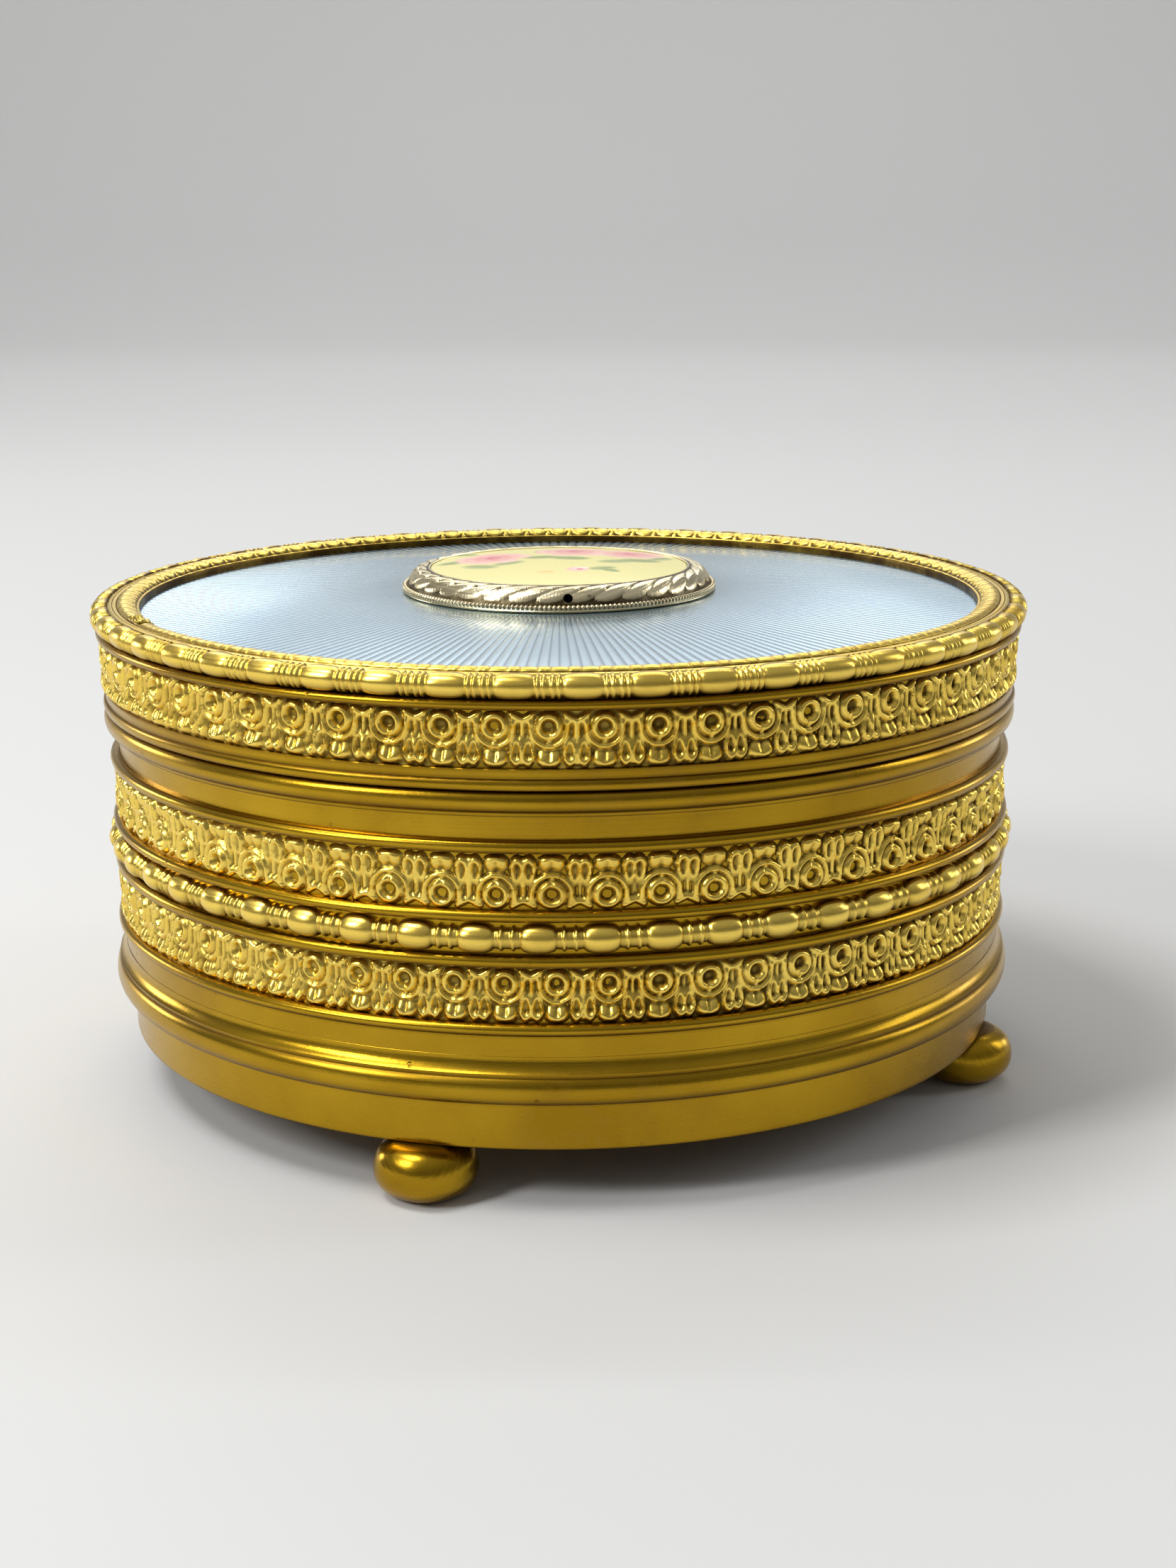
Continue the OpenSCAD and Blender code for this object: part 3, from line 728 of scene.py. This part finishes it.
def drill_pin_hole(mount, r, z, radius=0.50, depth=2.6):
    """Drills the bezel's pin hole a little right of the front, square to the slope."""
    round_box = Matrix.Rotation(math.radians(3.2), 4, "Z")
    square_to_slope = Matrix.Rotation(math.radians(62), 4, "X")
    place = round_box @ Matrix.Translation(Vector((0, -r, z)) * MM) @ square_to_slope
    drill = bmesh.new()
    bmesh.ops.create_cone(drill, cap_ends=True, segments=32, radius1=radius * MM,
                          radius2=radius * MM, depth=depth * MM)
    bmesh.ops.transform(drill, matrix=place, verts=drill.verts)
    # The drill's faces give the hole's wall its painted-shade material.
    for face in drill.faces:
        face.material_index = 1
    tool = bpy.data.meshes.new("drill")
    drill.to_mesh(tool)
    drill.free()
    mount.data.materials.append(HOLE_SHADE)
    cutter = bpy.data.objects.new("drill", tool)
    bpy.context.scene.collection.objects.link(cutter)
    cut(mount, cutter)


def medallion(seed=41, columns=2160):
    """Pale gilt mount: plain flange edge, milled cord and laurel bezel, with one pin hole."""
    rng = np.random.default_rng(seed)
    base_z, flange_top = high("enamel_plate"), low("medallion_bezel")
    r0 = outer("medallion_base")
    top, inner = high("medallion_bezel"), BEZEL_IN_R
    cord_r, cord_z = r0 - 0.24, flange_top - 0.10
    angle = np.arange(columns) / columns * TAU
    section = [(3, base_z + 0.02), (r0 - 0.15, base_z + 0.02), (r0, base_z + 0.15),
               (r0, flange_top - 0.42), (r0 - 0.08, flange_top - 0.34)]
    cord = arc(cord_r, cord_z, 0.24, 0.28, -30, 150, 9)
    (r1, z1), (r2, z2) = (cord_r - 0.22, cord_z + 0.20), (inner + 0.35, top - 0.05)
    steps = np.linspace(0, 1, 26)
    slope = [(r1 + (r2 - r1) * t, z1 + (z2 - z1) * math.sin(t * math.pi / 2) ** 0.68)
             for t in steps]
    lip = [(inner + 0.15, top + 0.02), (inner + 0.02, top - 0.03),
           (inner + 0.02, flange_top + 1.15), (inner + 0.45, flange_top + 1.15),
           (inner + 0.45, flange_top + 0.02), (3, flange_top)]
    p = np.array(section + cord + slope + lip)
    first, last = len(section), len(section) + len(cord)
    mill, t, on_slope = np.zeros((3, len(p)))
    mill[first:last] = 1
    t[last:last + len(slope)] = steps
    on_slope[last:last + len(slope)] = np.sin(np.pi * np.clip(steps * 0.96 + 0.02, 0, 1)) ** 0.25
    teeth = 0.5 + 0.5 * np.cos(angle * CORD_TEETH)
    leaf = soften(bezel_height(angle[:, None], t[None, :], BEZEL_LEAVES) * on_slope[None, :])
    push = 0.46 * (leaf - 0.25) * on_slope[None, :] + 0.11 * (teeth[:, None] - 1) * mill[None, :]
    push = push + 0.012 * soften(rng.normal(0, 1, push.shape), 2) * (on_slope[None, :] > 0)
    r = p[None, :, 0] + push * 0.62
    z = p[None, :, 1] + push * 0.72
    dirt_and_shade = grime(leaf, 6, 0.9) * (on_slope > 0)[None, :]
    dirt_and_shade = np.clip(dirt_and_shade + 0.7 * (1 - teeth[:, None]) * mill[None, :], 0, 1)
    mesh = loop_mesh("medallion_mount", polar(angle[:, None] + FRONT, r, z), dirt_and_shade, 60)
    mount = add_object("medallion_mount", mesh, PALE, "lid", ["medallion_bezel", "medallion_base"])
    drill_pin_hole(mount, r0 - 1.0, flange_top + 0.70)


CREAM = np.array([0.80, 0.73, 0.27])
PINKS = [np.array(c) for c in ([0.80, 0.27, 0.28], [0.87, 0.39, 0.37], [0.92, 0.53, 0.47],
                               [0.62, 0.12, 0.17])]
GREENS = [np.array(c) for c in ([0.32, 0.38, 0.11], [0.44, 0.48, 0.17], [0.20, 0.26, 0.07])]


def dab(paint, x, y, cx, cy, rx, ry, turn, colour, strength=1.0, soft=0.35):
    """One stroke of the painter's brush: a soft-edged oval of colour."""
    c, s = math.cos(turn), math.sin(turn)
    u, v = ((x - cx) * c + (y - cy) * s) / rx, (-(x - cx) * s + (y - cy) * c) / ry
    k = np.clip((1 - np.hypot(u, v)) / soft, 0, 1)[:, None] * strength
    paint[:] = paint * (1 - k) + colour * k


def paint_rose(paint, x, y, cx, cy, size, rng):
    """A loose cabbage rose: pale outer petals, a deeper heart and light edges."""
    for ring, (count, reach) in enumerate([(7, 0.72), (6, 0.45), (4, 0.2)]):
        for k in range(count):
            a = TAU * k / count + ring * 0.5 + rng.uniform(-0.2, 0.2)
            px, py = cx + size * reach * math.cos(a), cy + size * reach * math.sin(a)
            tone = PINKS[[2, 1, 0][ring]] * rng.uniform(0.93, 1.04)
            dab(paint, x, y, px, py, size * 0.42, size * 0.30, a + math.pi / 2, tone, 0.9)
            dab(paint, x, y, px + 0.1 * size * math.cos(a), py + 0.1 * size * math.sin(a),
                size * 0.30, size * 0.08, a + math.pi / 2, CREAM * 0.4 + PINKS[2] * 0.6, 0.6)
    dab(paint, x, y, cx, cy, size * 0.24, size * 0.2, 0.4, PINKS[3], 0.85)
    dab(paint, x, y, cx + 0.06 * size, cy, size * 0.12, size * 0.06, 0.9, PINKS[1], 0.8)


def paint_leaf(paint, x, y, cx, cy, size, turn, rng):
    """A leaf with a dark midrib and two side veins."""
    dab(paint, x, y, cx, cy, size, size * 0.58, turn, GREENS[rng.integers(0, 2)], 0.95)
    dab(paint, x, y, cx, cy, size * 0.8, size * 0.14, turn, GREENS[2], 0.85)
    for k in (-1, 1):
        dab(paint, x, y, cx + 0.3 * size * math.cos(turn), cy + 0.3 * size * math.sin(turn),
            size * 0.35, size * 0.06, turn + 0.7 * k, GREENS[2], 0.5)


def plaque(seed=42, rings=110, columns=420):
    """Domed cream enamel plaque with roses painted on it."""
    rng = np.random.default_rng(seed)
    node = "medallion_plaque"
    top, bottom = high(node), low(node)
    rim_z = high("medallion_bezel") - 0.12
    crown = top - rim_z
    radii = PLAQUE_R * (1 - np.arange(rings) / rings)
    section = [(0.05, bottom + 0.02), (PLAQUE_R + 0.35, bottom + 0.02),
               (PLAQUE_R + 0.35, bottom + 1.08), (PLAQUE_R, bottom + 1.08)]
    section += [(r, rim_z + crown * (1 - (r / PLAQUE_R) ** 2)) for r in radii] + [(0.05, top)]
    p = np.array(section)
    angle = FRONT + np.arange(columns) / columns * TAU
    points = polar(angle[:, None], p[None, :, 0], p[None, :, 1])
    x, y = points[..., 0].ravel(), points[..., 1].ravel()
    paint = np.tile(CREAM, (len(x), 1))
    edge = np.clip((np.hypot(x, y) - 12.6) / 1.2, 0, 1)[:, None]
    paint = paint * (1 - 0.25 * edge) + np.array([0.78, 0.74, 0.30]) * 0.25 * edge
    leaves = [(-11.2, 1.2, 2.0, 0.3), (-8.4, -3.0, 2.1, -0.5), (-5.4, -1.6, 1.9, 0.6),
              (-2.0, 2.0, 2.0, 0.1), (1.2, 1.2, 2.2, -0.2), (6.2, -0.6, 2.1, 0.4),
              (8.8, 0.6, 2.2, 0.1), (11.0, 3.0, 1.9, 0.9), (-10.2, 8.0, 1.6, 2.2),
              (-1.6, 7.6, 1.7, 1.2)]
    for cx, cy, size, turn in leaves:
        paint_leaf(paint, x, y, cx, cy, size * 1.2, turn, rng)
    paint_rose(paint, x, y, -7.2, 2.8, 4.4, rng)
    paint_rose(paint, x, y, 1.8, 7.4, 4.7, rng)
    paint_rose(paint, x, y, 7.8, 6.0, 4.1, rng)
    paint_leaf(paint, x, y, 4.6, -5.2, 2.0, 0.5, rng)
    paint_leaf(paint, x, y, 5.4, -6.2, 1.4, -0.6, rng)
    dab(paint, x, y, 2.0, -6.0, 1.5, 1.3, 0.5, PINKS[2])
    dab(paint, x, y, 2.3, -5.4, 1.0, 0.6, 0.5, np.array([0.93, 0.80, 0.66]), 0.9)
    dab(paint, x, y, 2.2, -6.0, 0.5, 0.5, 0.5, PINKS[3], 0.9)
    dab(paint, x, y, -1.4, -7.4, 1.2, 0.6, 0.1, np.array([0.90, 0.55, 0.15]), 0.8)
    mesh = loop_mesh("rose_plaque", points, None, 60)
    colours = np.ones((len(x), 4), dtype=np.float32)
    colours[:, :3] = paint
    layer = mesh.attributes.new("paint", "FLOAT_COLOR", "POINT")
    layer.data.foreach_set("color", colours.ravel())
    return add_object("rose_plaque", mesh, painted_enamel(), "lid", [node])


# ---------------------------------------------------------------- linings
def cushion(name, node, body, radius, puckers, seed, up=1):
    """A round velvet pad drawn in at its sewn edge, with soft puckers. up is -1 under the lid."""
    rng = np.random.default_rng(seed)
    z0, z1 = (low(node), high(node)) if up > 0 else (high(node), low(node))
    n, rings = 360, 46
    angle = np.arange(n) / n * TAU
    t = np.linspace(1, 0.001, rings)
    body_shape = np.clip(1 - t ** 6, 0, 1) ** 0.5
    wave = smooth_noise(rng, n, (puckers, puckers + 3, 2 * puckers - 5))
    pull = np.exp(-((t - 0.93) / 0.07) ** 2)
    z = z0 + up * (0.25 + (abs(z1 - z0) - 0.25) * body_shape)[None, :] \
        + up * 0.10 * wave[:, None] * pull[None, :]
    dents = 0.12 * np.sin(3 * angle + 1)[:, None] * (t * (1 - t))[None, :] * 2
    z = z - up * np.abs(dents)
    r = radius * t[None, :] - 0.15 * pull[None, :] * (1 + wave[:, None] * 0.4)
    face = polar(angle[:, None], r, z)
    back = polar(angle[:, None], np.array([[0.05, radius - 0.3]]), z0 + up * 0.02)
    points = np.concatenate([face, back], axis=1)
    if up < 0:
        points = points[:, ::-1]
    mesh = loop_mesh(name, points, None, 60)
    piece = add_object(name, mesh, VELVET, body, [node])
    return piece


def wall_lining(seed=52):
    """The velvet round the well, over card: a soft roll at the top and one overlapped seam."""
    rng = np.random.default_rng(seed)
    node = "wall_lining"
    z0, z1, r_out = low(node), high(node), outer(node)
    n, rows = 720, 40
    angle = FRONT + np.arange(n) / n * TAU
    v = np.linspace(0, 1, rows)
    soft = 0.55 * np.sin(np.pi * v) ** 0.35
    ripple = 0.05 * smooth_noise(rng, n, (9, 17, 23, 40))
    seam = 0.22 * np.exp(-((np.degrees(angle - FRONT) - 168) / 0.5) ** 2)
    r = r_out - 0.38 - soft[None, :] + (ripple + seam)[:, None] * np.sin(np.pi * v)[None, :]
    inner = polar(angle[:, None], r[:, ::-1], (z0 + (z1 - z0) * v[::-1])[None, :])
    back = polar(angle[:, None], r_out - 0.02, np.array([[z0, z1]]))
    mesh = loop_mesh("wall_velvet", np.concatenate([inner, back], axis=1), None, 60)
    piece = add_object("wall_velvet", mesh, VELVET, "box", [node])
    return piece


def bun_foot(node, seed):
    """A cast bun foot, worn a little out of round, with a dished top under the base."""
    rng = np.random.default_rng(seed)
    lo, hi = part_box(node)
    cx, cy = (lo[0] + hi[0]) / 2 / MM, (lo[1] + hi[1]) / 2 / MM
    reach = (hi[0] - lo[0]) / 2 / MM
    seat, widest = low("base_moulding"), 5.15
    section = [(0.05, seat - 0.02), (2.9, seat - 0.02), (3.4, seat - 0.16), (3.7, seat - 0.28),
               (4.0, seat - 0.40), (4.3, seat - 0.62), (4.65, seat - 1.05), (4.95, seat - 1.65),
               (5.12, seat - 2.4), (widest, seat - 3.1), (5.02, seat - 3.8), (4.65, seat - 4.5),
               (4.05, seat - 5.1), (3.3, seat - 5.5), (2.6, 0.03), (2.1, 0.0), (0.05, 0.0)]
    section = densify([(r * reach / widest, z) for r, z in section][::-1], 0.25)
    p = np.array(section)
    for _ in range(3):
        inner = (np.roll(p, 1, 0) + 2 * p + np.roll(p, -1, 0)) / 4
        keep = (p[:, 0] > 2.2) & (p[:, 1] > 0.1)
        p[keep] = inner[keep]
    n = 120
    angle = np.arange(n) / n * TAU
    wave = 1 + 0.012 * smooth_noise(rng, n, (2, 3, 5)) - 0.012
    r = p[None, :, 0] * wave[:, None]
    z = p[None, :, 1] + 0.05 * (smooth_noise(rng, n, (1, 2, 3))[:, None]
                                * np.sin(np.pi * p[None, :, 1] / seat))
    z = np.clip(z, 0, seat - 0.02)
    points = polar(angle[:, None], r, z) + np.array([cx, cy, 0])
    # The foot is darker at its top, where it meets the base, and towards the floor.
    dirt_and_shade = np.clip((p[:, 1] - seat + 0.5) / 0.5, 0, 1) * (p[:, 0] < 3.2) \
        + np.clip((0.7 - p[:, 1]) / 0.7, 0, 1) * 0.6
    dirt_and_shade = np.broadcast_to(np.clip(dirt_and_shade, 0, 1) * 0.7, r.shape)
    mesh = loop_mesh(node + "_gilt", points, dirt_and_shade, 50)
    return add_object(node + "_gilt", mesh, GOLD_SHADED, "box", [node])


# ---------------------------------------------------------------- hinge cut-outs
def hinge_window(piece, z0, z1, inner_r):
    """Clears the space of the hinge's leaves and barrel from a ring."""
    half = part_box("hinge_body_leaf")[1][0] / MM + 0.2
    reach = math.asin(half / 50)
    tool = bmesh.new()
    rings = []
    for a in np.linspace(-reach, reach, 24):
        corner = [(inner_r, z0), (52, z0), (52, z1), (inner_r, z1)]
        rings.append([tool.verts.new(Vector((r * math.sin(a), r * math.cos(a), z)) * MM)
                      for r, z in corner])
    for one, two in zip(rings, rings[1:]):
        for k in range(4):
            tool.faces.new([one[k], one[(k + 1) % 4], two[(k + 1) % 4], two[k]])
    tool.faces.new(rings[0][::-1])
    tool.faces.new(rings[-1])
    bmesh.ops.recalc_face_normals(tool, faces=tool.faces)
    mesh = bpy.data.meshes.new("window")
    tool.to_mesh(mesh)
    tool.free()
    cutter = bpy.data.objects.new("window", mesh)
    bpy.context.scene.collection.objects.link(cutter)
    cut(piece, cutter)


# ---------------------------------------------------------------- carried-over CAD nodes
def dress_nodes():
    """Gives every CAD node that stays in view its material and smooth shading."""
    looks = {"foot_screws": STEEL, "medallion_washer": STEEL, "medallion_nut": STEEL,
             "packing_disc": card()}
    for name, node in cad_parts.items():
        node.data.materials.clear()
        node.data.materials.append(looks.get(name, GOLD_SHADED))
        node.data.shade_smooth()
        node.data.set_sharp_from_angle(angle=math.radians(32))


# ---------------------------------------------------------------- camera, floor and lights
def camera():
    """A low, close view from the front. The angles are in degrees and the eye is in metres."""
    data = bpy.data.cameras.new("camera")
    data.sensor_fit = "VERTICAL"
    data.sensor_height = 36
    data.sensor_width = 36
    data.lens = 55.7
    data.clip_start = 0.01
    eye = bpy.data.objects.new("camera", data)
    bpy.context.scene.collection.objects.link(eye)
    yaw, pitch, roll = (math.radians(turn) for turn in (0.66, 13.65, -0.35))
    ahead = Vector((math.sin(yaw) * math.cos(pitch), math.cos(yaw) * math.cos(pitch),
                    -math.sin(pitch)))
    right = Vector((math.cos(yaw), -math.sin(yaw), 0))
    up = right.cross(ahead)
    x_axis = right * math.cos(roll) + up * math.sin(roll)
    y_axis = up * math.cos(roll) - right * math.sin(roll)
    eye.matrix_world = Matrix.Translation((0, -0.26043, 0.0929)) @ Matrix(
        (x_axis, y_axis, -ahead)).transposed().to_4x4()
    bpy.context.scene.camera = eye


def area_light(name, at, towards, size, power):
    """A white soft light. at, towards and size are in metres, power is in watts."""
    data = bpy.data.lights.new(name, "AREA")
    data.shape = "RECTANGLE"
    data.size, data.size_y = size
    data.energy = power
    lamp = bpy.data.objects.new(name, data)
    lamp.location = at
    lamp.rotation_euler = (Vector(towards) - Vector(at)).to_track_quat("-Z", "Y").to_euler()
    lamp.visible_camera = False
    bpy.context.scene.collection.objects.link(lamp)


def backdrop():
    """A pale paper floor that sweeps up behind the box."""
    half, back, bend, top = 3.0, 1.3, 0.5, 0.9
    profile = [(-half, 0.0), (back, 0.0)]
    profile += [(back + bend * math.sin(a), bend * (1 - math.cos(a)))
                for a in np.linspace(0, math.pi / 2, 16)[1:]] + [(back + bend, top)]
    verts = [(x, y, z) for y, z in profile for x in (-half, half)]
    faces = [(2 * k, 2 * k + 1, 2 * k + 3, 2 * k + 2) for k in range(len(profile) - 1)]
    mesh = bpy.data.meshes.new("floor")
    mesh.from_pydata(verts, [], faces)
    mesh.shade_smooth()
    floor = bpy.data.objects.new("floor", mesh)
    bpy.context.scene.collection.objects.link(floor)
    n = Nodes("floor_paper")
    n.set(Base_Color=n.mix(n.noise(n.place(), 3, 2), (0.66, 0.66, 0.65, 1),
                           (0.69, 0.69, 0.68, 1)),
          Roughness=0.9, Specular_IOR_Level=0.1)
    mesh.materials.append(n.material)


def surroundings():
    """A dim grey room, darkest a little above the horizon and lightest overhead."""
    world = bpy.data.worlds.new("studio")
    bpy.context.scene.world = world
    world.use_nodes = True
    tree = world.node_tree
    place = tree.nodes.new("ShaderNodeTexCoord")
    split = tree.nodes.new("ShaderNodeSeparateXYZ")
    tree.links.new(place.outputs["Generated"], split.inputs[0])
    ramp = tree.nodes.new("ShaderNodeValToRGB")
    tree.links.new(split.outputs["Z"], ramp.inputs["Fac"])
    stops = ramp.color_ramp.elements
    stops[0].position, stops[0].color = 0.0, (0.55, 0.55, 0.55, 1)
    stops[1].position, stops[1].color = 1.0, (0.85, 0.87, 0.90, 1)
    for position, grey in ((0.12, 0.45), (0.30, 0.35), (0.50, 0.60), (0.75, 0.80)):
        stop = stops.new(position)
        stop.color = (grey, grey, grey * 1.02, 1)
    tree.links.new(ramp.outputs["Color"], tree.nodes["Background"].inputs["Color"])
    tree.nodes["Background"].inputs["Strength"].default_value = 0.42


def lights():
    """Nine soft lights, and the plain view transform that their strengths are set for."""
    area_light("top_box", (-0.30, -0.08, 0.70), (0, 0, 0.03), (0.26, 0.24), 2.5)
    area_light("back_left", (-0.20, 0.60, 0.46), (0, 0, 0.05), (0.18, 0.12), 0.28)
    area_light("back_right", (0.08, 0.62, 0.48), (0, 0, 0.05), (0.16, 0.14), 0.16)
    area_light("back_panel", (0.0, 1.1, 0.75), (0, 0, 0.05), (0.8, 0.7), 1.6)
    area_light("left_box", (-0.52, -0.34, 0.46), (0, 0, 0.03), (0.16, 0.24), 2.5)
    area_light("left_card", (-0.85, 0.46, 0.20), (0, 0, 0.03), (0.25, 0.22), 1.4)
    area_light("right_card", (0.85, 0.46, 0.20), (0, 0, 0.03), (0.20, 0.22), 0.7)
    area_light("right_box", (0.70, 0.10, 0.35), (0, 0, 0.03), (0.15, 0.35), 0.7)
    area_light("backdrop_light", (0.0, 0.95, 1.6), (0, 1.8, 0.35), (1.8, 0.3), 12)
    bpy.context.scene.view_settings.view_transform = "Standard"


camera()
backdrop()
surroundings()
lights()
dress_nodes()
build_body()
build_rim(hinge_window)
build_lid(hinge_window)
leaf_border()
enamel_disc()
medallion()
plaque()
cushion("floor_velvet", "floor_pad", "box", 45.1, 23, 51)
cushion("lid_velvet", "lid_lining", "lid", 43.8, 19, 53, -1)
wall_lining()
for count, name in enumerate(["foot_1", "foot_2", "foot_3", "foot_4"]):
    bun_foot(name, 61 + count)
